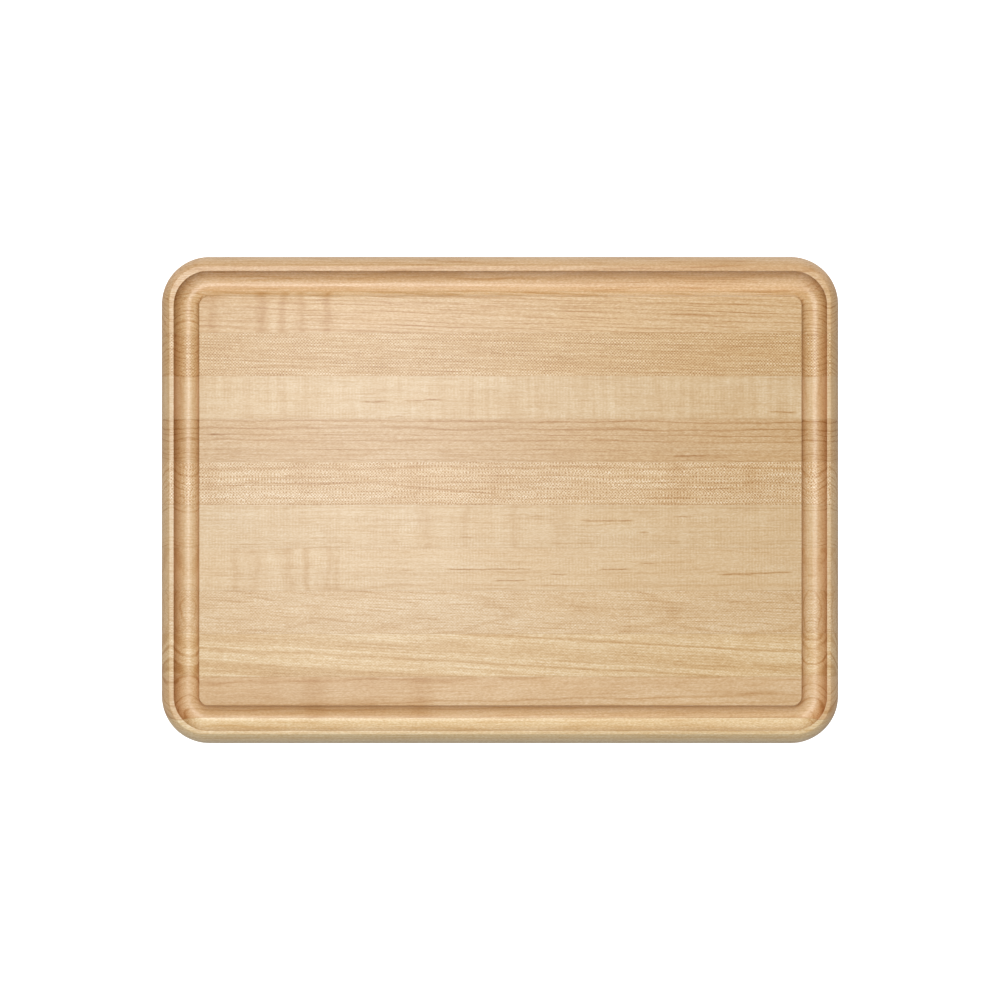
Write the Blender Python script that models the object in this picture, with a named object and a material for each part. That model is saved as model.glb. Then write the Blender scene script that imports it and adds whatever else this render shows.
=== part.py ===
"""Edge-grain cutting board.

Twelve full-length maple staves stand side by side and are glued edge to edge. The blank then gets rounded
corners, an edge rounded in one arc from face to face, and a juice groove routed round the top face.
Units are metres and +Z is up. The origin is at the middle of the underside, and +X runs along the grain.
"""

import math

import bmesh
import bpy

# Driving dimensions of the board
BOARD_LENGTH = 0.500
BOARD_WIDTH = 0.360
BOARD_THICKNESS = 0.038
CORNER_RADIUS = 0.036

# The edge all round is one arc from face to face, and bulges this far past the rims of the flat faces
EDGE_BULGE = 0.0103

# The juice groove is cut with a round-nosed cutter along a rounded rectangle, a little off the middle
GROOVE_LENGTH = 0.4552
GROOVE_WIDTH = 0.3150
GROOVE_CORNER_RADIUS = 0.0158
GROOVE_CUTTER_RADIUS = 0.0095
GROOVE_DEPTH = 0.0072
GROOVE_MIDDLE = (0.0003, -0.0007)

# The glue lines lie one stave width apart, and the two outer staves are as wide as what is left over
STAVE_COUNT = 12
STAVE_WIDTH = 0.03114
FIRST_GLUE_LINE_Y = 0.1522
STAVE_GAP = 0.0003
GLUE_THICKNESS = 0.0001

# Fineness of the curves
CORNER_STEPS = 8
EDGE_STEPS = 8
GROOVE_STEPS = 10
SHARP_ANGLE = math.radians(25.0)

# Colours of the staves from the +Y side to the -Y side, and of the cured glue
STAVE_COLOURS = (
    (0.68, 0.46, 0.27),
    (0.73, 0.52, 0.33),
    (0.71, 0.49, 0.30),
    (0.77, 0.59, 0.38),
    (0.67, 0.46, 0.28),
    (0.73, 0.53, 0.34),
    (0.77, 0.58, 0.39),
    (0.75, 0.56, 0.37),
    (0.72, 0.52, 0.33),
    (0.73, 0.52, 0.31),
    (0.66, 0.44, 0.27),
    (0.70, 0.49, 0.29),
)
GLUE_COLOUR = (0.48, 0.29, 0.13)
WOOD_ROUGHNESS = 0.55
GLUE_ROUGHNESS = 0.40


def clear_scene():
    for old in list(bpy.data.objects):
        bpy.data.objects.remove(old, do_unlink=True)


def make_material(name, colour, roughness):
    material = bpy.data.materials.new(name)
    material.use_nodes = True
    shader = material.node_tree.nodes["Principled BSDF"]
    shader.inputs["Base Color"].default_value = (*colour, 1.0)
    shader.inputs["Roughness"].default_value = roughness
    shader.inputs["Metallic"].default_value = 0.0
    return material


def rounded_rectangle(length, width, corner_radius, middle, height):
    """Points of one level ring, counter-clockwise seen from above, with an arc at each corner."""
    points = []
    for corner, (side_x, side_y) in enumerate(((1, 1), (-1, 1), (-1, -1), (1, -1))):
        arc_x = middle[0] + side_x * (length / 2 - corner_radius)
        arc_y = middle[1] + side_y * (width / 2 - corner_radius)
        for step in range(CORNER_STEPS + 1):
            angle = math.radians(90.0) * (corner + step / CORNER_STEPS)
            x = arc_x + corner_radius * math.cos(angle)
            y = arc_y + corner_radius * math.sin(angle)
            points.append((x, y, height))
    return points


def edge_rings():
    """Rings of the rounded edge, from the rim of the underside up to the rim of the top face."""
    half_thickness = BOARD_THICKNESS / 2
    arc_radius = (half_thickness**2 + EDGE_BULGE**2) / (2 * EDGE_BULGE)
    half_sweep = math.asin(half_thickness / arc_radius)
    rings = []
    for step in range(EDGE_STEPS + 1):
        swing = half_sweep * (2 * step / EDGE_STEPS - 1)
        inset = arc_radius * (1 - math.cos(swing))
        length = BOARD_LENGTH - 2 * inset
        width = BOARD_WIDTH - 2 * inset
        height = half_thickness + arc_radius * math.sin(swing)
        rings.append(rounded_rectangle(length, width, CORNER_RADIUS - inset, (0.0, 0.0), height))
    return rings


def groove_rings():
    """Rings of the juice groove, from its outer lip through its bottom to its inner lip."""
    half_sweep = math.acos(1 - GROOVE_DEPTH / GROOVE_CUTTER_RADIUS)
    cutter_height = BOARD_THICKNESS - GROOVE_DEPTH + GROOVE_CUTTER_RADIUS
    rings = []
    for step in range(GROOVE_STEPS + 1):
        swing = half_sweep * (1 - 2 * step / GROOVE_STEPS)
        outward = GROOVE_CUTTER_RADIUS * math.sin(swing)
        length = GROOVE_LENGTH + 2 * outward
        width = GROOVE_WIDTH + 2 * outward
        radius = GROOVE_CORNER_RADIUS + outward
        height = cutter_height - GROOVE_CUTTER_RADIUS * math.cos(swing)
        rings.append(rounded_rectangle(length, width, radius, GROOVE_MIDDLE, height))
    return rings


def build_blank():
    """The whole glued board as one closed bmesh, before it is divided into its staves."""
    blank = bmesh.new()
    rings = [[blank.verts.new(point) for point in ring] for ring in edge_rings() + groove_rings()]
    for lower, upper in zip(rings, rings[1:]):
        for here in range(len(lower)):
            after = (here + 1) % len(lower)
            blank.faces.new((lower[here], lower[after], upper[after], upper[here]))
    blank.faces.new(reversed(rings[0]))
    blank.faces.new(rings[-1])
    return blank


def trim(mesh, y, keep_above):
    """Cut a closed bmesh at a plane across Y, drop one side and close the cut with a face."""
    cut = bmesh.ops.bisect_plane(
        mesh,
        geom=mesh.verts[:] + mesh.edges[:] + mesh.faces[:],
        dist=1e-7,
        plane_co=(0.0, y, 0.0),
        plane_no=(0.0, -1.0 if keep_above else 1.0, 0.0),
        clear_outer=True,
    )
    cut_edges = [item for item in cut["geom_cut"] if isinstance(item, bmesh.types.BMEdge)]
    bmesh.ops.edgeloop_fill(mesh, edges=cut_edges)


def make_slice(blank, name, low_y, high_y, material):
    """One named object: the part of the board between two planes across Y, either of them optional."""
    piece = blank.copy()
    if low_y is not None:
        trim(piece, low_y, keep_above=True)
    if high_y is not None:
        trim(piece, high_y, keep_above=False)
    bmesh.ops.recalc_face_normals(piece, faces=piece.faces[:])
    mesh = bpy.data.meshes.new(name)
    piece.to_mesh(mesh)
    piece.free()
    mesh.shade_smooth()
    mesh.set_sharp_from_angle(angle=SHARP_ANGLE)
    mesh.materials.append(material)
    slice_object = bpy.data.objects.new(name, mesh)
    bpy.context.scene.collection.objects.link(slice_object)


def build_staves(blank, glue_lines):
    """Stave 01 is the outer one on the +Y side. The outer staves run out to the board's long sides."""
    for index in range(STAVE_COUNT):
        name = f"stave_{index + 1:02d}"
        high_y = glue_lines[index - 1] - STAVE_GAP / 2 if index > 0 else None
        low_y = glue_lines[index] + STAVE_GAP / 2 if index < STAVE_COUNT - 1 else None
        material = make_material(name, STAVE_COLOURS[index], WOOD_ROUGHNESS)
        make_slice(blank, name, low_y, high_y, material)


def build_glue_lines(blank, glue_lines):
    """One thin film of cured glue stands in the gap between each pair of staves."""
    for index, middle_y in enumerate(glue_lines):
        name = f"glue_line_{index + 1:02d}"
        material = make_material(name, GLUE_COLOUR, GLUE_ROUGHNESS)
        make_slice(blank, name, middle_y - GLUE_THICKNESS / 2, middle_y + GLUE_THICKNESS / 2, material)


def main():
    clear_scene()
    glue_lines = [FIRST_GLUE_LINE_Y - STAVE_WIDTH * index for index in range(STAVE_COUNT - 1)]
    blank = build_blank()
    build_staves(blank, glue_lines)
    build_glue_lines(blank, glue_lines)
    blank.free()


main()
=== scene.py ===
"""Looks of the edge-grain maple cutting board.

Each CAD stave and glue line is replaced by a finer piece of the same board, with its edges eased by a few
tenths of a millimetre and a solid maple material of its own: growth rings, fibre, flecks, curl and streaks
run through the whole stave, so they carry on over the rounded edge, down into the groove and across the ends.
Everything is in metres. +X runs along the grain, and z = 0 is the underside.
"""

import math
from dataclasses import dataclass

import bmesh
import bpy
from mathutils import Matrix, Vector


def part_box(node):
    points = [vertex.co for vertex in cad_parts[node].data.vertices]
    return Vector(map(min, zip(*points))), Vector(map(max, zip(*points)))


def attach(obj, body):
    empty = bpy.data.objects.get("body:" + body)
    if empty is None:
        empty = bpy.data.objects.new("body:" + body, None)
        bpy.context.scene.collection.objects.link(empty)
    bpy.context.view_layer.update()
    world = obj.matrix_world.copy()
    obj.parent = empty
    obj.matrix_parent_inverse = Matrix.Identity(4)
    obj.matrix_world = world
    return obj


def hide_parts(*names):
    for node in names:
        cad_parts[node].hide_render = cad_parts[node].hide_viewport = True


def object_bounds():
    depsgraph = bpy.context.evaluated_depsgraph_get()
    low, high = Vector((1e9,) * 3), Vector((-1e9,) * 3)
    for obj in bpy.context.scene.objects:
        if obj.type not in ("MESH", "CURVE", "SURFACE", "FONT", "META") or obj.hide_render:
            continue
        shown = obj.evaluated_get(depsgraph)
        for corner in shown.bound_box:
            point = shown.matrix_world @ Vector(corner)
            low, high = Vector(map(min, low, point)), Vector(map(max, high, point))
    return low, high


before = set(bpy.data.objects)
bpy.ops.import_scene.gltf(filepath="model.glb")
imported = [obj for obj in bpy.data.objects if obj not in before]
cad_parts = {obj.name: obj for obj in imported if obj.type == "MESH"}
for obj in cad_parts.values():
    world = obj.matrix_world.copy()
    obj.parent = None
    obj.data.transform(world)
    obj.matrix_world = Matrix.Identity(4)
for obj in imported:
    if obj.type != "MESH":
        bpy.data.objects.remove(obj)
CAD_LOW, CAD_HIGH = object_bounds()

# Size of the board, from the CAD model
BOARD_LENGTH = CAD_HIGH.x - CAD_LOW.x
BOARD_WIDTH = CAD_HIGH.y - CAD_LOW.y
BOARD_THICKNESS = CAD_HIGH.z - CAD_LOW.z

# Edge and groove, as in the CAD model
CORNER_RADIUS = 0.036
EDGE_BULGE = 0.0103
GROOVE_LENGTH = 0.4552
GROOVE_WIDTH = 0.3150
GROOVE_CORNER_RADIUS = 0.0158
GROOVE_CUTTER_RADIUS = 0.0095
GROOVE_DEPTH = 0.0072
GROOVE_MIDDLE = (0.0003, -0.0007)

# Sanding eases every crease a little
RIM_EASE = 0.0006
LIP_EASE = 0.0004

# The staves all but touch, with a film of glue between them
STAVE_COUNT = 12
GLUE_THICKNESS = 0.00020
GLUE_CLEARANCE = 0.00001

# Fineness of the curves
CORNER_STEPS = 24
EDGE_STEPS = 28
GROOVE_STEPS = 36
EASE_STEPS = 5
SHARP_ANGLE = math.radians(30.0)

# A unit of darkness multiplies the colour of the wood by this
DARK_TINT = (0.86, 0.77, 0.65)

# A unit of warmth adds these fractions to the channels of the wood's colour
WARM_TINT = (0.0, -0.03, -0.09)

# Painted reddish bounce light adds up to these fractions to the colour of the groove's steep walls, at a
# redness of 1
GROOVE_BOUNCE_TINT = (0.16, -0.05, -0.06)

# Sizes of the figure along, across and down the grain
FIBRE_SIZE = (0.022, 0.0008, 0.0008)
PORE_SIZE = (0.0019, 0.0006, 0.0006)
BLOTCH_SIZE = (0.090, 0.012, 0.020)
WARMTH_SIZE = (0.070, 0.015, 0.020)
DRIFT_SIZE = (0.110, 0.035, 0.035)

# Fibre is never paler than this
PALEST_FIBRE = -0.10

# Growth rings: how far, in rings, they wobble and differ in width, and how strong and how pale they get
RING_WOBBLE = 0.45
RING_WOBBLE_SIZE = (0.050, 0.008, 0.008)
RING_UNEVENNESS = 0.9
RING_UNEVENNESS_SIZE = 0.009
WEAKEST_RING = 0.25
RING_VARIETY = 1.1
RING_GAIN = 1.3
PALE_WOOD = 0.20

# Layers of fine figure lean across the stave by this much for each metre down
LAYER_LEAN = 0.7

# Ray flecks: distance between neighbours, size of the sway in their rows and columns, how much stronger the
# dark ones are than the pale ones between them, and the patches where they are thick
FLECK_SPACING = 0.00225
FLECK_SWAY_SIZE = (0.007, 0.0028, 0.0028)
FLECK_SKEW = 0.6
FLECK_PATCH_SIZE = (0.030, 0.007, 0.007)
FLECK_PATCH_EDGE = (-0.15, 0.20)
FLECK_PATCH_SHARE = 0.4

# Ticks are short bars across the grain outside those patches: how far their darkness swings, and about what
TICK_SWING = 0.6
TICK_LEVEL = 0.2

# Hairlines along the grain: distance between neighbours, drift in radians, sharpness, and their patches
HAIRLINE_SPACING = 0.0025
HAIRLINE_DRIFT = 9.0
HAIRLINE_DRIFT_SIZE = (0.080, 0.006, 0.006)
HAIRLINE_SHARPNESS = 4.0
HAIRLINE_PATCH_SIZE = (0.045, 0.0026, 0.0026)
HAIRLINE_PATCH_EDGE = (-0.20, 0.25)

# Curl: reach of its bands across and down the grain, their waviness, and the fade at the ends of a stretch
CURL_REACH = (0.045, 0.030)
BAND_WAVE = 0.004
BAND_WAVE_SIZE = (0.020, 0.010, 0.020)
CURL_FADE = 0.015

# Streaks: fade at their ends, how far they waver, how broken they are, and the depths where they die out
STREAK_FADE = 0.004
STREAK_WAVE = 0.0009
STREAK_WAVE_SIZE = (0.010, 1.0, 1.0)
STREAK_BREAK = 0.8
STREAK_BREAK_SIZE = (0.004, 0.002, 0.01)
STREAK_DEPTHS = (0.001, 0.006)

# End grain: slope of the face where it starts and is full, and how its darkness, rings and flecks differ
END_GRAIN_EDGE = (0.10, 0.95)
END_DARKNESS = 0.9
END_RINGS = 0.8
END_FLECK_LOSS = 0.85

# Surface of the wood: roughness, what full fibre and end grain add to it, and the relief of fibre and pores
WOOD_ROUGHNESS = 0.39
FIBRE_ROUGHNESS = 0.10
END_ROUGHNESS = 0.12
RELIEF_STRENGTH = 0.6
RELIEF_DEPTH = 0.00006
PORE_RELIEF = 0.8

# Cured glue
GLUE_COLOUR = (0.42, 0.25, 0.11)
GLUE_ROUGHNESS = 0.40
GLUE_MOTTLE = 0.1
GLUE_MOTTLE_SIZE = (0.006, 0.002, 0.002)

# Each material's noises start from a seed of its own, and a seed shifts a noise by this much for each unit
SEED_SHIFT = (17.3, 5.9, 9.1)
FIRST_STAVE_SEED = 3
STAVE_SEED_STEP = 20
GLUE_SEED = 71

# Pale studio: the floor glows a little, and more where it is seen, so that it comes out white
WHITE = (1.0, 1.0, 1.0, 1.0)
FLOOR_REACH = 6.0
FLOOR_CLEARANCE = 0.0002
FLOOR_COLOUR = (0.6, 0.6, 0.6, 1.0)
FLOOR_ROUGHNESS = 0.8
FLOOR_GLOW = 0.05
FLOOR_GLOW_IN_VIEW = 0.85
STUDIO_STRENGTH = 0.12

# Camera above the middle of the board, looking straight down
CAMERA_HEIGHT = 0.79
VIEW_WIDTH = 0.7248
SENSOR_WIDTH = 36.0
NEAREST_VIEW = 0.01


@dataclass
class Maple:
    """How one stave looks. Lengths are in metres, and strengths are in units of darkness.

    The pith is the middle of the growth rings, across and up from the middle of the stave's top face. A
    higher ring edge makes the ring lines thinner. The slope and dive are how far the grain runs across and
    down for each metre along the stave. The wall shade is the painted shade on the groove's steep walls
    along the grain, and a negative one paints them paler; the end wall shade is the painted shade that end
    grain adds to it, and the bounce redness is how much painted reddish bounce light they show. The sway,
    in radians, is how unevenly the ray flecks lie. Each band of curl has its middle, width and strength.
    """

    colour: tuple
    pith: tuple
    rings: float
    fibre: float
    ring_spacing: float = 0.0045
    ring_edge: float = 9.0
    slope: float = 0.0
    dive: float = 0.0
    wander: float = 0.0012
    hairlines: float = 0.8
    pores: float = 1.7
    blotch: float = 0.35
    # The next three set the painted shade, the painted paler walls and the painted reddish bounce light in
    # the groove
    wall_shade: float = 0.1
    end_wall_shade: float = 1.9
    bounce_redness: float = 1.0
    sway: float = 2.7
    weave: float = 0.0
    rows: float = 0.0
    ticks: float = 0.0
    curl: float = 0.0
    curl_length: float = 0.012
    curl_span: tuple = (-0.30, 0.30)
    bands: tuple = ()
    streaks: tuple = ()


@dataclass
class Streak:
    """One dark streak on the top face, from left end to right end. A wide and weak one darkens a whole band
    of it.
    """

    left: float
    right: float
    y: float
    rise: float = 0.0
    thickness: float = 0.0005
    strength: float = 3.0


# Some staves set their own painted shade, painted paler walls and painted reddish bounce light for the
# groove's walls
STAVES = (
    Maple(
        (0.557, 0.362, 0.190),
        pith=(0.10, -0.06),
        wall_shade=-1.2,
        bounce_redness=0.5,
        hairlines=1.2,
        rings=0.88,
        fibre=1.00,
        blotch=0.56,
        # This wide, weak streak darkens the flat rim along the board's top edge: painted shade
        streaks=(Streak(-0.260, 0.260, 0.1680, 0.0, 0.0020, 0.9),),
    ),
    Maple(
        (0.543, 0.361, 0.185),
        pith=(-0.07, -0.05),
        slope=-0.028,
        ring_spacing=0.0030,
        rings=1.12,
        fibre=1.20,
        hairlines=1.7,
        wall_shade=-1.5,
        bounce_redness=0.3,
        end_wall_shade=3.4,
        curl=0.60,
        curl_span=(-0.23, -0.10),
        bands=(
            (-0.2085, 0.0040, 0.85),
            (-0.1725, 0.0042, 1.15),
            (-0.1570, 0.0030, 0.90),
            (-0.1440, 0.0030, 0.60),
            (-0.1250, 0.0035, 1.15),
        ),
    ),
    Maple(
        (0.526, 0.350, 0.175),
        pith=(0.12, -0.04),
        slope=-0.020,
        ring_spacing=0.0042,
        rings=0.80,
        fibre=1.10,
        hairlines=1.1,
        weave=1.9,
        rows=0.40,
    ),
    Maple(
        (0.558, 0.398, 0.225),
        pith=(0.02, -0.14),
        hairlines=0.6,
        pores=1.1,
        end_wall_shade=1.1,
        bounce_redness=1.4,
        ring_spacing=0.0060,
        rings=0.38,
        fibre=1.00,
        ticks=0.30,
        curl=0.65,
        curl_length=0.0045,
        blotch=0.28,
        streaks=(
            Streak(-0.101, -0.079, 0.0715, -0.01),
            Streak(-0.068, -0.043, 0.0720, 0.03),
            Streak(-0.081, -0.071, 0.0605, 0.0, 0.0004, 2.4),
            Streak(0.196, 0.214, 0.0640, -0.02, 0.0005, 2.4),
        ),
    ),
    Maple(
        (0.502, 0.326, 0.163),
        pith=(-0.14, -0.03),
        slope=-0.003,
        ring_spacing=0.0049,
        rings=1.35,
        ring_edge=14.0,
        wander=0.0006,
        fibre=1.20,
        hairlines=0.9,
        end_wall_shade=2.4,
        weave=0.15,
        streaks=(
            Streak(-0.211, -0.200, 0.0475, 0.0, 0.0006, 2.8),
            Streak(0.125, 0.150, 0.0315, 0.02),
        ),
    ),
    Maple(
        (0.578, 0.409, 0.231),
        pith=(0.10, -0.08),
        ring_spacing=0.0040,
        rings=0.85,
        wander=0.0018,
        fibre=1.20,
        hairlines=0.8,
        end_wall_shade=2.1,
        sway=4.4,
        weave=2.0,
        rows=0.25,
        ticks=1.2,
        blotch=0.70,
        bands=(
            (-0.2100, 0.0060, 0.45),
            (-0.1450, 0.0070, 0.40),
            (-0.0620, 0.0050, 0.30),
            (-0.0040, 0.0060, 0.30),
            (0.1290, 0.0090, 0.45),
            (0.1830, 0.0060, 0.35),
        ),
        streaks=(
            Streak(-0.208, -0.120, 0.0104, 0.010, 0.0004, 1.6),
            Streak(-0.165, -0.080, 0.0122, -0.004, 0.0004, 1.3),
            Streak(-0.155, -0.150, 0.0176, 0.0, 0.0004, 2.2),
            Streak(-0.082, -0.005, 0.0112, -0.085, 0.0004, 1.8),
            Streak(-0.060, 0.000, 0.0080, -0.060, 0.0004, 1.4),
            Streak(0.014, 0.021, 0.0098, 0.0, 0.0004, 2.2),
            Streak(0.104, 0.142, 0.0016, 0.0, 0.0004, 1.8),
            Streak(0.150, 0.166, 0.0078, 0.04, 0.0004, 2.2),
        ),
    ),
    Maple(
        (0.573, 0.412, 0.237),
        pith=(0.15, -0.05),
        hairlines=0.7,
        pores=1.1,
        end_wall_shade=1.2,
        bounce_redness=1.2,
        ring_spacing=0.0040,
        rings=0.42,
        fibre=1.00,
        ticks=0.35,
        curl=0.36,
        curl_length=0.0055,
        blotch=0.25,
        bands=(
            (-0.0540, 0.0040, 0.50),
            (-0.0250, 0.0025, 0.45),
            (0.0100, 0.0030, 0.35),
            (0.0420, 0.0050, 0.35),
        ),
        streaks=(
            Streak(-0.027, -0.020, -0.0271, 0.0, 0.0004, 2.8),
            Streak(0.022, 0.033, -0.0118, 0.0, 0.0004, 2.0),
            Streak(0.060, 0.096, -0.0150, 0.0, 0.0005, 2.8),
            Streak(0.102, 0.106, -0.0235, 0.0, 0.0005, 3.2),
            Streak(0.128, 0.138, -0.0120, 0.0, 0.0004, 2.8),
        ),
    ),
    Maple(
        (0.583, 0.418, 0.240),
        pith=(0.04, -0.12),
        hairlines=0.7,
        pores=1.1,
        end_wall_shade=1.2,
        bounce_redness=1.3,
        ring_spacing=0.0055,
        rings=0.42,
        fibre=1.00,
        ticks=0.35,
        curl=0.45,
        curl_length=0.006,
        curl_span=(-0.23, -0.11),
        bands=(
            (-0.1920, 0.0030, 0.50),
            (-0.1770, 0.0030, 0.40),
            (-0.1530, 0.0040, 0.65),
            (-0.1400, 0.0025, 0.85),
            (-0.1240, 0.0025, 0.60),
            (-0.1180, 0.0020, 0.50),
        ),
        blotch=0.30,
        streaks=(
            Streak(-0.072, -0.063, -0.0510, 0.02, 0.0004, 2.4),
            Streak(-0.038, 0.022, -0.0505, 0.01, 0.0004, 3.2),
            Streak(-0.003, 0.018, -0.0585, 0.0, 0.0004, 2.8),
            Streak(0.038, 0.047, -0.0540, 0.0, 0.0004, 2.8),
            Streak(0.073, 0.094, -0.0505, 0.01, 0.0004, 3.2),
            Streak(0.102, 0.113, -0.0460, 0.0, 0.0004, 2.4),
            Streak(0.160, 0.210, -0.0540, 0.03, 0.0005, 3.0),
        ),
    ),
    Maple(
        (0.587, 0.420, 0.242),
        pith=(0.0, -0.045),
        dive=0.05,
        ring_spacing=0.0030,
        rings=0.34,
        end_wall_shade=2.2,
        fibre=1.00,
        hairlines=1.1,
        weave=0.60,
        rows=0.15,
        blotch=0.56,
    ),
    Maple(
        (0.619, 0.450, 0.254),
        pith=(0.06, -0.07),
        slope=-0.055,
        ring_spacing=0.0056,
        rings=0.75,
        ring_edge=2.0,
        end_wall_shade=1.6,
        fibre=0.85,
        hairlines=0.8,
        weave=0.40,
        rows=0.25,
        blotch=0.42,
    ),
    Maple(
        (0.574, 0.383, 0.205),
        pith=(-0.06, -0.06),
        hairlines=0.4,
        pores=1.4,
        slope=0.02,
        ring_spacing=0.0050,
        rings=0.62,
        fibre=1.55,
        blotch=0.70,
        bands=(
            (-0.2050, 0.0180, 0.60),
            (-0.1680, 0.0180, 0.50),
            (-0.1350, 0.0110, 0.85),
            (-0.0950, 0.0220, 0.40),
            (-0.0570, 0.0090, 0.70),
        ),
    ),
    Maple(
        (0.620, 0.462, 0.257),
        pith=(-0.09, -0.05),
        wall_shade=-0.5,
        bounce_redness=0.3,
        rings=0.75,
        fibre=1.20,
        blotch=0.49,
    ),
)


def rounded_rectangle(length, width, corner_radius, middle, height):
    """Points of one level ring, counter-clockwise seen from above, with an arc at each corner."""
    points = []
    for corner, (side_x, side_y) in enumerate(((1, 1), (-1, 1), (-1, -1), (1, -1))):
        arc_x = middle[0] + side_x * (length / 2 - corner_radius)
        arc_y = middle[1] + side_y * (width / 2 - corner_radius)
        for step in range(CORNER_STEPS + 1):
            angle = math.radians(90.0) * (corner + step / CORNER_STEPS)
            x = arc_x + corner_radius * math.cos(angle)
            y = arc_y + corner_radius * math.sin(angle)
            points.append((x, y, height))
    return points


def arc(centre, radius, start, end, steps):
    """Points of an arc in a profile, as (outward, height) pairs. The angles are from outward, towards up."""
    points = []
    for step in range(steps + 1):
        angle = start + (end - start) * step / steps
        points.append((centre[0] + radius * math.cos(angle), centre[1] + radius * math.sin(angle)))
    return points


def edge_profile():
    """The rounded edge from the underside to the top face. Outward is measured from the board's outline."""
    half = BOARD_THICKNESS / 2
    radius = (half**2 + EDGE_BULGE**2) / (2 * EDGE_BULGE)
    eased_height = half - RIM_EASE
    eased_outward = math.sqrt((radius - RIM_EASE) ** 2 - eased_height**2) - radius
    sweep = math.asin(eased_height / (radius - RIM_EASE))
    right_angle = math.radians(90.0)
    lower_ease = arc((eased_outward, RIM_EASE), RIM_EASE, -right_angle, -sweep, EASE_STEPS)
    bulge = arc((-radius, half), radius, -sweep, sweep, EDGE_STEPS)
    upper_ease = arc((eased_outward, half + eased_height), RIM_EASE, sweep, right_angle, EASE_STEPS)
    return lower_ease[:-1] + bulge + upper_ease[1:]


def groove_profile():
    """The groove from its outer lip to its inner lip. Outward is measured from the cutter's path."""
    lip_height = BOARD_THICKNESS - LIP_EASE
    cutter_height = BOARD_THICKNESS - GROOVE_DEPTH + GROOVE_CUTTER_RADIUS
    rise = cutter_height - lip_height
    reach = GROOVE_CUTTER_RADIUS + LIP_EASE
    lip_outward = math.sqrt(reach**2 - rise**2)
    sweep = math.acos(rise / reach)
    right_angle = math.radians(90.0)
    bottom_angles = (sweep - right_angle, -sweep - right_angle)
    outer_lip = arc((lip_outward, lip_height), LIP_EASE, right_angle, right_angle + sweep, EASE_STEPS)
    bottom = arc((0.0, cutter_height), GROOVE_CUTTER_RADIUS, *bottom_angles, GROOVE_STEPS)
    inner_lip = [(-outward, height) for outward, height in reversed(outer_lip)]
    return outer_lip[:-1] + bottom + inner_lip[1:]


def board_rings():
    """Every ring of the board, from the rim of the underside over the edge and through the groove."""
    rings = []
    for outward, height in edge_profile():
        length = BOARD_LENGTH + 2 * outward
        width = BOARD_WIDTH + 2 * outward
        rings.append(rounded_rectangle(length, width, CORNER_RADIUS + outward, (0.0, 0.0), height))
    for outward, height in groove_profile():
        length = GROOVE_LENGTH + 2 * outward
        width = GROOVE_WIDTH + 2 * outward
        rings.append(rounded_rectangle(length, width, GROOVE_CORNER_RADIUS + outward, GROOVE_MIDDLE, height))
    return rings


def build_blank():
    """The whole board as one closed bmesh. Its flat faces are shaded flat and its curved ones smooth."""
    blank = bmesh.new()
    rings = [[blank.verts.new(point) for point in ring] for ring in board_rings()]
    for lower, upper in zip(rings, rings[1:]):
        flat = lower[0].co.z == upper[0].co.z
        for here in range(len(lower)):
            after = (here + 1) % len(lower)
            face = blank.faces.new((lower[here], lower[after], upper[after], upper[here]))
            face.smooth = not flat
    blank.faces.new(reversed(rings[0]))
    blank.faces.new(rings[-1])
    return blank


def trim(mesh, y, keep_above):
    """Cut a closed bmesh at a plane across Y, drop one side and close the cut with a flat face."""
    cut = bmesh.ops.bisect_plane(
        mesh,
        geom=mesh.verts[:] + mesh.edges[:] + mesh.faces[:],
        dist=1e-7,
        plane_co=(0.0, y, 0.0),
        plane_no=(0.0, -1.0 if keep_above else 1.0, 0.0),
        clear_outer=True,
    )
    cut_edges = [item for item in cut["geom_cut"] if isinstance(item, bmesh.types.BMEdge)]
    bmesh.ops.edgeloop_fill(mesh, edges=cut_edges)


def make_slice(blank, name, low_y, high_y, material):
    """One piece of the board between two planes across Y, either of them optional."""
    slice_mesh = blank.copy()
    if low_y is not None:
        trim(slice_mesh, low_y, keep_above=True)
    if high_y is not None:
        trim(slice_mesh, high_y, keep_above=False)
    bmesh.ops.recalc_face_normals(slice_mesh, faces=slice_mesh.faces[:])
    mesh = bpy.data.meshes.new(name)
    slice_mesh.to_mesh(mesh)
    slice_mesh.free()
    mesh.set_sharp_from_angle(angle=SHARP_ANGLE)
    mesh.materials.append(material)
    piece = bpy.data.objects.new(name, mesh)
    bpy.context.scene.collection.objects.link(piece)
    return piece


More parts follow.
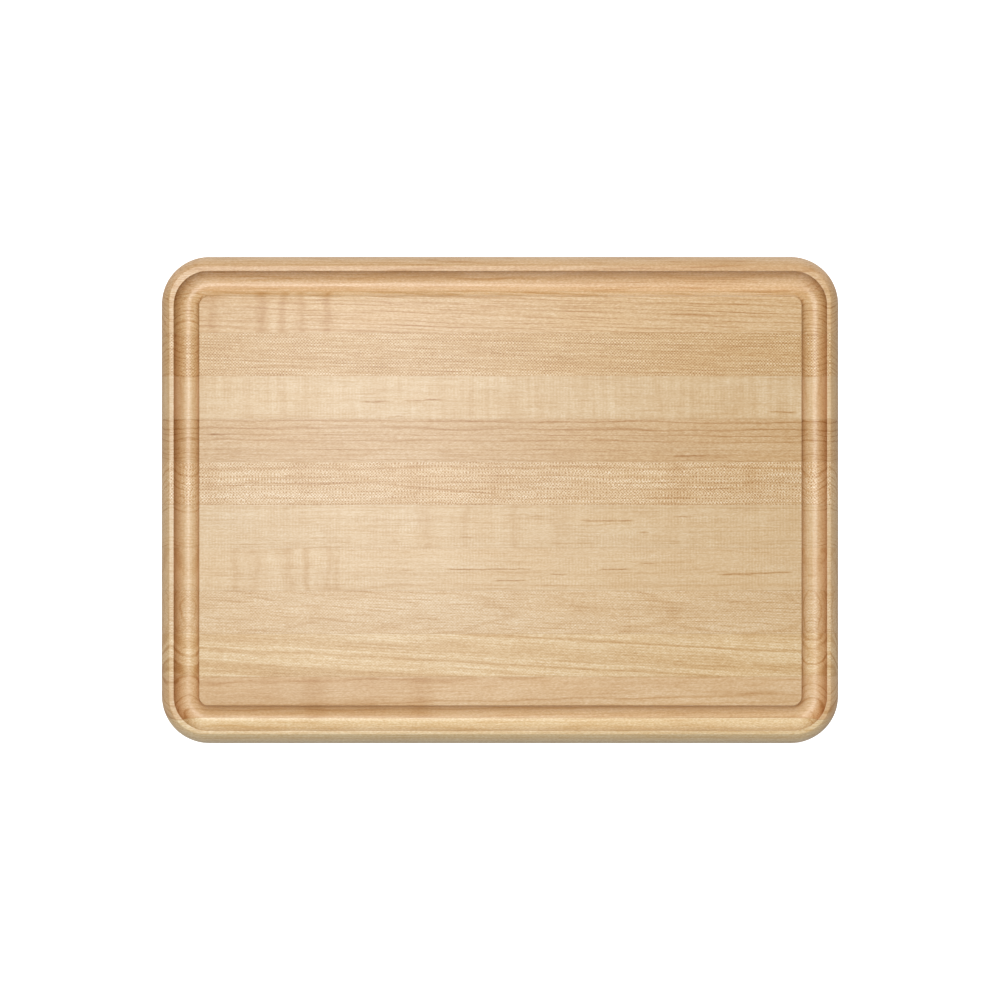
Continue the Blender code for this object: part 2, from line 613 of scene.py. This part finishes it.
class Graph:
    """Adds shader nodes to a material and joins them up. An input is a number or another node's output."""

    def __init__(self, material):
        material.use_nodes = True
        self.nodes = material.node_tree.nodes
        self.links = material.node_tree.links

    def join(self, value, socket):
        if isinstance(value, bpy.types.NodeSocket):
            self.links.new(value, socket)
        else:
            socket.default_value = value

    def math(self, operation, *values):
        node = self.nodes.new("ShaderNodeMath")
        node.operation = operation
        for value, socket in zip(values, node.inputs):
            self.join(value, socket)
        return node.outputs[0]

    def add(self, *values):
        total = values[0]
        for value in values[1:]:
            total = self.math("ADD", total, value)
        return total

    def times(self, *values):
        product = values[0]
        for value in values[1:]:
            product = self.math("MULTIPLY", product, value)
        return product

    def vector_math(self, operation, *values):
        node = self.nodes.new("ShaderNodeVectorMath")
        node.operation = operation
        for value, socket in zip(values, node.inputs):
            self.join(value, socket)
        return node.outputs["Value"] if operation == "LENGTH" else node.outputs[0]

    def split(self, vector):
        node = self.nodes.new("ShaderNodeSeparateXYZ")
        self.join(vector, node.inputs[0])
        return node.outputs[0], node.outputs[1], node.outputs[2]

    def combine(self, x, y, z):
        node = self.nodes.new("ShaderNodeCombineXYZ")
        for value, socket in zip((x, y, z), node.inputs):
            self.join(value, socket)
        return node.outputs[0]

    def noise(self, vector, size, seed, detail=2.0, roughness=0.5):
        """Smooth noise from about -0.6 to 0.6 whose blobs have this size along, across and down the grain."""
        scale = tuple(1.0 / length for length in size)
        offset = tuple(shift * seed for shift in SEED_SHIFT)
        node = self.nodes.new("ShaderNodeTexNoise")
        node.inputs["Scale"].default_value = 1.0
        node.inputs["Detail"].default_value = detail
        node.inputs["Roughness"].default_value = roughness
        self.join(self.vector_math("MULTIPLY_ADD", vector, scale, offset), node.inputs["Vector"])
        return self.math("MULTIPLY_ADD", node.outputs["Fac"], 2.0, -1.0)

    def white(self, value):
        """A fixed random number from 0 to 1 for each whole number."""
        node = self.nodes.new("ShaderNodeTexWhiteNoise")
        node.noise_dimensions = "1D"
        self.join(value, node.inputs["W"])
        return node.outputs["Value"]

    def ramp(self, value, low, high):
        """0 below low, 1 above high and a smooth step between them."""
        node = self.nodes.new("ShaderNodeMapRange")
        node.interpolation_type = "SMOOTHSTEP"
        self.join(value, node.inputs["Value"])
        node.inputs["From Min"].default_value = low
        node.inputs["From Max"].default_value = high
        return node.outputs["Result"]

    def within(self, value, low, high, fade):
        """1 between low and high, fading to 0 on both sides."""
        rising = self.ramp(value, low - fade, low + fade)
        falling = self.ramp(value, high - fade, high + fade)
        return self.times(rising, self.math("SUBTRACT", 1.0, falling))


def grain_position(graph, look, middle_y, seed):
    """The place in the board, and the place in the stave: along the grain, across it and up from its top."""
    place = graph.nodes.new("ShaderNodeTexCoord").outputs["Object"]
    x, y, z = graph.split(place)
    drift = graph.noise(place, DRIFT_SIZE, seed)
    lean = graph.times(x, -look.slope)
    across = graph.add(y, -middle_y, lean, graph.times(drift, look.wander))
    up = graph.add(z, -BOARD_THICKNESS, graph.times(x, look.dive))
    return place, graph.combine(x, across, up)


def growth_rings(graph, look, grain, seed):
    """A thin dark line at the end of each year's growth, with its own strength and some wobble."""
    pith_across, pith_up = look.pith
    from_pith = graph.vector_math("MULTIPLY_ADD", grain, (0.0, 1.0, 1.0), (0.0, -pith_across, -pith_up))
    radius = graph.vector_math("LENGTH", from_pith)
    wobble = graph.noise(grain, RING_WOBBLE_SIZE, seed, detail=3.0)
    spread = (RING_UNEVENNESS_SIZE, RING_UNEVENNESS_SIZE, 1.0)
    uneven = graph.noise(graph.combine(radius, radius, 0.0), spread, seed, detail=0.0)
    phase = graph.add(
        graph.times(radius, 1.0 / look.ring_spacing),
        graph.times(wobble, RING_WOBBLE),
        graph.times(uneven, RING_UNEVENNESS),
    )
    ring = graph.white(graph.math("ROUND", phase))
    strength = graph.math("MULTIPLY_ADD", ring, RING_VARIETY, WEAKEST_RING)
    wave = graph.math("COSINE", graph.times(phase, 2 * math.pi))
    late = graph.math("POWER", graph.math("MULTIPLY_ADD", wave, 0.5, 0.5), look.ring_edge)
    return graph.math("SUBTRACT", graph.times(late, strength, RING_GAIN), PALE_WOOD)


def across_layers(graph, grain):
    """Distance across the layers of fine figure, which lean as they go down into the stave."""
    x, across, up = graph.split(grain)
    return graph.add(across, graph.times(up, LAYER_LEAN))


def swaying_sine(graph, distance, grain, sway, seed):
    """Waves one fleck long over a distance, whose crests sway by so many radians from place to place."""
    drift = graph.noise(grain, FLECK_SWAY_SIZE, seed, detail=2.0)
    phase = graph.add(graph.times(distance, 2 * math.pi / FLECK_SPACING), graph.times(drift, sway))
    return graph.math("SINE", phase)


def woven_flecks(graph, look, grain, seed):
    """Fine dark flecks in wavering rows and columns, where the rays cross the fibres."""
    x = graph.split(grain)[0]
    columns = swaying_sine(graph, x, grain, look.sway, seed)
    rows = swaying_sine(graph, across_layers(graph, grain), grain, look.sway, seed + 1)
    crossings = graph.times(columns, rows)
    flecks = graph.times(crossings, graph.math("MULTIPLY_ADD", crossings, FLECK_SKEW, 1.0))
    patches = graph.ramp(graph.noise(grain, FLECK_PATCH_SIZE, seed + 2), *FLECK_PATCH_EDGE)
    in_patches = look.weave * FLECK_PATCH_SHARE
    weave = graph.times(flecks, graph.math("MULTIPLY_ADD", patches, in_patches, look.weave - in_patches))
    bare = graph.math("MULTIPLY_ADD", patches, -look.ticks, look.ticks)
    ticks = graph.times(graph.math("MULTIPLY_ADD", columns, TICK_SWING, TICK_LEVEL), bare)
    return graph.add(weave, ticks, graph.times(rows, look.rows))


def hairlines(graph, grain, seed):
    """Thin dark lines along the grain, a few millimetres apart, that wander, come and go."""
    turns = graph.times(across_layers(graph, grain), 2 * math.pi / HAIRLINE_SPACING)
    drift = graph.noise(grain, HAIRLINE_DRIFT_SIZE, seed, detail=1.0)
    phase = graph.add(turns, graph.times(drift, HAIRLINE_DRIFT))
    wave = graph.math("MULTIPLY_ADD", graph.math("SINE", phase), 0.5, 0.5)
    lines = graph.math("POWER", wave, HAIRLINE_SHARPNESS)
    patches = graph.ramp(graph.noise(grain, HAIRLINE_PATCH_SIZE, seed + 1), *HAIRLINE_PATCH_EDGE)
    return graph.times(lines, patches)


def bell(graph, off_middle, width):
    """1 in the middle of a line or band, falling smoothly to nearly 0 at twice its width away."""
    off = graph.times(off_middle, 1.0 / width)
    return graph.math("EXPONENT", graph.times(off, off, -1.0))


def cross_bands(graph, bands, grain, seed):
    """Single dark bands of curl across the grain, each with a soft and slightly wavy edge."""
    wave = graph.noise(grain, BAND_WAVE_SIZE, seed)
    shifted = graph.add(graph.split(grain)[0], graph.times(wave, BAND_WAVE))
    total = 0.0
    for middle, width, strength in bands:
        band = bell(graph, graph.add(shifted, -middle), width)
        total = graph.add(total, graph.times(band, strength))
    return total


def curly_figure(graph, look, grain, seed):
    """Soft bands across the grain, light and dark by turns, over one stretch of the stave."""
    bands = graph.noise(grain, (look.curl_length, *CURL_REACH), seed, detail=1.0)
    x = graph.split(grain)[0]
    return graph.times(bands, graph.within(x, *look.curl_span, CURL_FADE))


def streak_layer(graph, streak, place, seed):
    """A wavering, broken dark line along the grain, just under the top face."""
    x, y, z = graph.split(place)
    reach = graph.within(x, streak.left, streak.right, STREAK_FADE)
    wave = graph.times(graph.noise(place, STREAK_WAVE_SIZE, seed), STREAK_WAVE)
    centre = graph.add(streak.y, graph.times(graph.add(x, -streak.left), streak.rise), wave)
    line = bell(graph, graph.math("SUBTRACT", y, centre), streak.thickness)
    shallowest, deepest = STREAK_DEPTHS
    shallow = graph.ramp(z, BOARD_THICKNESS - deepest, BOARD_THICKNESS - shallowest)
    uneven = graph.noise(place, STREAK_BREAK_SIZE, seed + 1)
    broken = graph.math("MULTIPLY_ADD", uneven, STREAK_BREAK, STREAK_BREAK)
    return graph.times(line, reach, shallow, broken, streak.strength)


def end_grain(graph):
    """0 on faces along the grain and 1 on faces across it."""
    normal = graph.nodes.new("ShaderNodeNewGeometry").outputs["Normal"]
    along = graph.math("ABSOLUTE", graph.split(normal)[0])
    return graph.ramp(along, *END_GRAIN_EDGE)


def groove_shade_mask(graph, place):
    """Mask of painted shade in the groove: 0 on the flats and along the middle of the groove, and higher
    where its walls are steeper.
    """
    x, y, z = graph.split(place)
    normal = graph.nodes.new("ShaderNodeNewGeometry").outputs["Normal"]
    steep = graph.math("SUBTRACT", 1.0, graph.split(normal)[2])
    off_x = graph.math("ABSOLUTE", graph.add(x, -GROOVE_MIDDLE[0]))
    off_y = graph.math("ABSOLUTE", graph.add(y, -GROOVE_MIDDLE[1]))
    reach = GROOVE_CUTTER_RADIUS + LIP_EASE
    inside_x = graph.math("LESS_THAN", off_x, GROOVE_LENGTH / 2 + reach)
    inside_y = graph.math("LESS_THAN", off_y, GROOVE_WIDTH / 2 + reach)
    above = graph.math("GREATER_THAN", z, BOARD_THICKNESS / 2)
    return graph.times(steep, inside_x, inside_y, above)


def figure_layers(graph, look, place, grain, ends, seed):
    """The figure of one stave, as a list of layers of darkness, whose noises have seeds of their own."""
    rings_shown = graph.math("MULTIPLY_ADD", ends, END_RINGS, look.rings)
    layers = [
        graph.times(growth_rings(graph, look, grain, seed + 5), rings_shown),
        graph.times(hairlines(graph, grain, seed + 7), look.hairlines),
        graph.times(graph.noise(grain, BLOTCH_SIZE, seed + 4), look.blotch),
    ]
    if look.bands:
        layers.append(cross_bands(graph, look.bands, grain, seed + 9))
    if look.weave or look.rows or look.ticks:
        side_grain = graph.math("MULTIPLY_ADD", ends, -END_FLECK_LOSS, 1.0)
        layers.append(graph.times(woven_flecks(graph, look, grain, seed + 6), side_grain))
    if look.curl:
        layers.append(graph.times(curly_figure(graph, look, grain, seed + 10), look.curl))
    for number, streak in enumerate(look.streaks):
        layers.append(streak_layer(graph, streak, place, seed + 12 + number))
    return layers


def darkening(graph, darkness):
    """What this much darkness leaves of each channel of a colour."""
    return graph.combine(*(graph.math("POWER", channel, darkness) for channel in DARK_TINT))


def tinting(graph, amount, fractions):
    """What an amount of a tint, which adds these fractions, multiplies each channel of a colour by."""
    return graph.vector_math("MULTIPLY_ADD", graph.combine(amount, amount, amount), fractions, (1, 1, 1))


def wood_colour(graph, look, grain, darkness, groove_shade, seed):
    """The stave's own colour, darkened by its figure and by painted shade in the groove, warmer in places,
    and with painted reddish bounce light on the groove's walls.
    """
    warmth = graph.noise(grain, WARMTH_SIZE, seed + 11)
    # Painted reddish bounce light on the groove's steep walls
    red = tuple(look.bounce_redness * fraction for fraction in GROOVE_BOUNCE_TINT)
    colour = graph.vector_math("MULTIPLY", look.colour, darkening(graph, darkness))
    colour = graph.vector_math("MULTIPLY", colour, tinting(graph, warmth, WARM_TINT))
    return graph.vector_math("MULTIPLY", colour, tinting(graph, groove_shade, red))


def wood_relief(graph, fibre, pores):
    """The surface normal, with the fine relief of fibre and pores."""
    bump = graph.nodes.new("ShaderNodeBump")
    bump.inputs["Strength"].default_value = RELIEF_STRENGTH
    bump.inputs["Distance"].default_value = RELIEF_DEPTH
    graph.join(graph.add(fibre, graph.times(pores, PORE_RELIEF)), bump.inputs["Height"])
    return bump.outputs["Normal"]


def maple_material(name, look, middle_y, seed):
    """One stave's solid maple. All the layers of its figure, and the painted shade on the groove's walls, add
    up to one darkness.
    """
    material = bpy.data.materials.new(name)
    graph = Graph(material)
    place, grain = grain_position(graph, look, middle_y, seed)
    fibre = graph.noise(grain, FIBRE_SIZE, seed + 2, detail=3.0, roughness=0.6)
    fibre = graph.math("MAXIMUM", fibre, PALEST_FIBRE)
    pores = graph.noise(grain, PORE_SIZE, seed + 3, detail=1.0)
    ends = end_grain(graph)
    # Painted shade on the groove's steep walls, stronger on end grain; negative values paint the walls paler
    groove_shade = groove_shade_mask(graph, place)
    groove_shade_darkness = graph.math("MULTIPLY_ADD", ends, look.end_wall_shade, look.wall_shade)
    darkness = graph.add(
        graph.times(fibre, look.fibre),
        graph.times(pores, look.pores),
        graph.times(ends, END_DARKNESS),
        graph.times(groove_shade, groove_shade_darkness),
        *figure_layers(graph, look, place, grain, ends, seed),
    )
    shader = graph.nodes["Principled BSDF"]
    graph.join(wood_colour(graph, look, grain, darkness, groove_shade, seed), shader.inputs["Base Color"])
    rougher = graph.add(graph.times(fibre, FIBRE_ROUGHNESS), graph.times(ends, END_ROUGHNESS))
    graph.join(graph.add(WOOD_ROUGHNESS, rougher), shader.inputs["Roughness"])
    graph.join(wood_relief(graph, fibre, pores), shader.inputs["Normal"])
    return material


def glue_material():
    material = bpy.data.materials.new("cured_glue")
    graph = Graph(material)
    shader = graph.nodes["Principled BSDF"]
    place = graph.nodes.new("ShaderNodeTexCoord").outputs["Object"]
    mottle = graph.noise(place, GLUE_MOTTLE_SIZE, GLUE_SEED)
    colour = graph.vector_math("MULTIPLY", GLUE_COLOUR, darkening(graph, mottle))
    graph.join(colour, shader.inputs["Base Color"])
    graph.join(graph.math("MULTIPLY_ADD", mottle, GLUE_MOTTLE, GLUE_ROUGHNESS), shader.inputs["Roughness"])
    return material


def middle_across(node):
    """The Y of the middle of a CAD node."""
    low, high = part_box(node)
    return (low.y + high.y) / 2


def stand_for(piece, node):
    """Put a piece on the board's only body, in place of one CAD node, which is hidden."""
    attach(piece, "root")
    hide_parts(node)


def build_staves(blank, glue_lines):
    for index, look in enumerate(STAVES):
        number = f"{index + 1:02d}"
        high_y = glue_lines[index - 1] - GLUE_THICKNESS / 2 if index > 0 else None
        low_y = glue_lines[index] + GLUE_THICKNESS / 2 if index < STAVE_COUNT - 1 else None
        seed = FIRST_STAVE_SEED + STAVE_SEED_STEP * index
        material = maple_material(f"maple_{number}", look, middle_across(f"stave_{number}"), seed)
        piece = make_slice(blank, f"visual_stave_{number}", low_y, high_y, material)
        stand_for(piece, f"stave_{number}")


def build_glue_films(blank, glue_lines):
    glue = glue_material()
    half_film = GLUE_THICKNESS / 2 - GLUE_CLEARANCE
    for index, y in enumerate(glue_lines):
        number = f"{index + 1:02d}"
        film = make_slice(blank, f"visual_glue_line_{number}", y - half_film, y + half_film, glue)
        stand_for(film, f"glue_line_{number}")


def build_board():
    """All the staves and glue films, each standing for the CAD node of the same name."""
    blank = build_blank()
    glue_lines = [middle_across(f"glue_line_{index + 1:02d}") for index in range(STAVE_COUNT - 1)]
    build_staves(blank, glue_lines)
    build_glue_films(blank, glue_lines)
    blank.free()


def floor_material():
    """Pale and glowing a little from above, clear from below and to the light of the lamp below the board."""
    material = bpy.data.materials.new("pale_floor")
    graph = Graph(material)
    ray = graph.nodes.new("ShaderNodeLightPath").outputs
    shader = graph.nodes["Principled BSDF"]
    shader.inputs["Base Color"].default_value = FLOOR_COLOUR
    shader.inputs["Roughness"].default_value = FLOOR_ROUGHNESS
    shader.inputs["Emission Color"].default_value = WHITE
    glow = graph.math("MULTIPLY_ADD", ray["Is Camera Ray"], FLOOR_GLOW_IN_VIEW, FLOOR_GLOW)
    graph.join(glow, shader.inputs["Emission Strength"])
    clear = graph.nodes.new("ShaderNodeBsdfTransparent")
    from_below = graph.nodes.new("ShaderNodeNewGeometry").outputs["Backfacing"]
    mix = graph.nodes.new("ShaderNodeMixShader")
    graph.join(graph.math("MAXIMUM", from_below, ray["Is Shadow Ray"]), mix.inputs[0])
    graph.join(shader.outputs[0], mix.inputs[1])
    graph.join(clear.outputs[0], mix.inputs[2])
    graph.join(mix.outputs[0], graph.nodes["Material Output"].inputs["Surface"])
    return material


def build_floor():
    """A large square just below the board."""
    level = CAD_LOW.z - FLOOR_CLEARANCE
    sides = ((-1, -1), (1, -1), (1, 1), (-1, 1))
    corners = [(side_x * FLOOR_REACH, side_y * FLOOR_REACH, level) for side_x, side_y in sides]
    mesh = bpy.data.meshes.new("floor")
    mesh.from_pydata(corners, [], [(0, 1, 2, 3)])
    mesh.materials.append(floor_material())
    floor = bpy.data.objects.new("floor", mesh)
    bpy.context.scene.collection.objects.link(floor)


def add_softbox(name, place, size, power, mirrored=True):
    """A square area light that faces the middle of the board. It can be kept out of the reflections."""
    light = bpy.data.lights.new(name, "AREA")
    light.shape = "SQUARE"
    light.size = size
    light.energy = power
    lamp = bpy.data.objects.new(name, light)
    lamp.location = place
    lamp.visible_glossy = mirrored
    target = Vector((0.0, 0.0, BOARD_THICKNESS))
    lamp.rotation_euler = (target - lamp.location).to_track_quat("-Z", "Y").to_euler()
    bpy.context.scene.collection.objects.link(lamp)


def build_lights():
    add_softbox("overhead_softbox", place=(0.27, 0.92, 2.00), size=1.30, power=23.8, mirrored=False)
    add_softbox("left_softbox", place=(-0.85, 0.45, 4.20), size=1.96, power=137.2)
    add_softbox("underside_softbox", place=(0.0, 0.0, -1.60), size=1.60, power=14.0, mirrored=False)


def build_studio():
    """A white background to the camera, which lights the board only a little."""
    world = bpy.data.worlds.new("studio")
    world.use_nodes = True
    nodes = world.node_tree.nodes
    links = world.node_tree.links
    fill = nodes["Background"]
    fill.inputs["Color"].default_value = WHITE
    fill.inputs["Strength"].default_value = STUDIO_STRENGTH
    seen = nodes.new("ShaderNodeBackground")
    seen.inputs["Color"].default_value = WHITE
    mix = nodes.new("ShaderNodeMixShader")
    links.new(nodes.new("ShaderNodeLightPath").outputs["Is Camera Ray"], mix.inputs[0])
    links.new(fill.outputs[0], mix.inputs[1])
    links.new(seen.outputs[0], mix.inputs[2])
    links.new(mix.outputs[0], nodes["World Output"].inputs["Surface"])
    bpy.context.scene.world = world


def build_camera():
    """Looks straight down, so that its view is as wide as VIEW_WIDTH at the board's top face."""
    camera = bpy.data.cameras.new("camera")
    camera.sensor_width = SENSOR_WIDTH
    camera.lens = SENSOR_WIDTH * CAMERA_HEIGHT / VIEW_WIDTH
    camera.clip_start = NEAREST_VIEW
    holder = bpy.data.objects.new("camera", camera)
    holder.location = (0.0, 0.0, CAD_HIGH.z + CAMERA_HEIGHT)
    bpy.context.scene.collection.objects.link(holder)
    bpy.context.scene.camera = holder


bpy.context.scene.view_settings.view_transform = "Standard"
build_board()
build_floor()
build_lights()
build_studio()
build_camera()
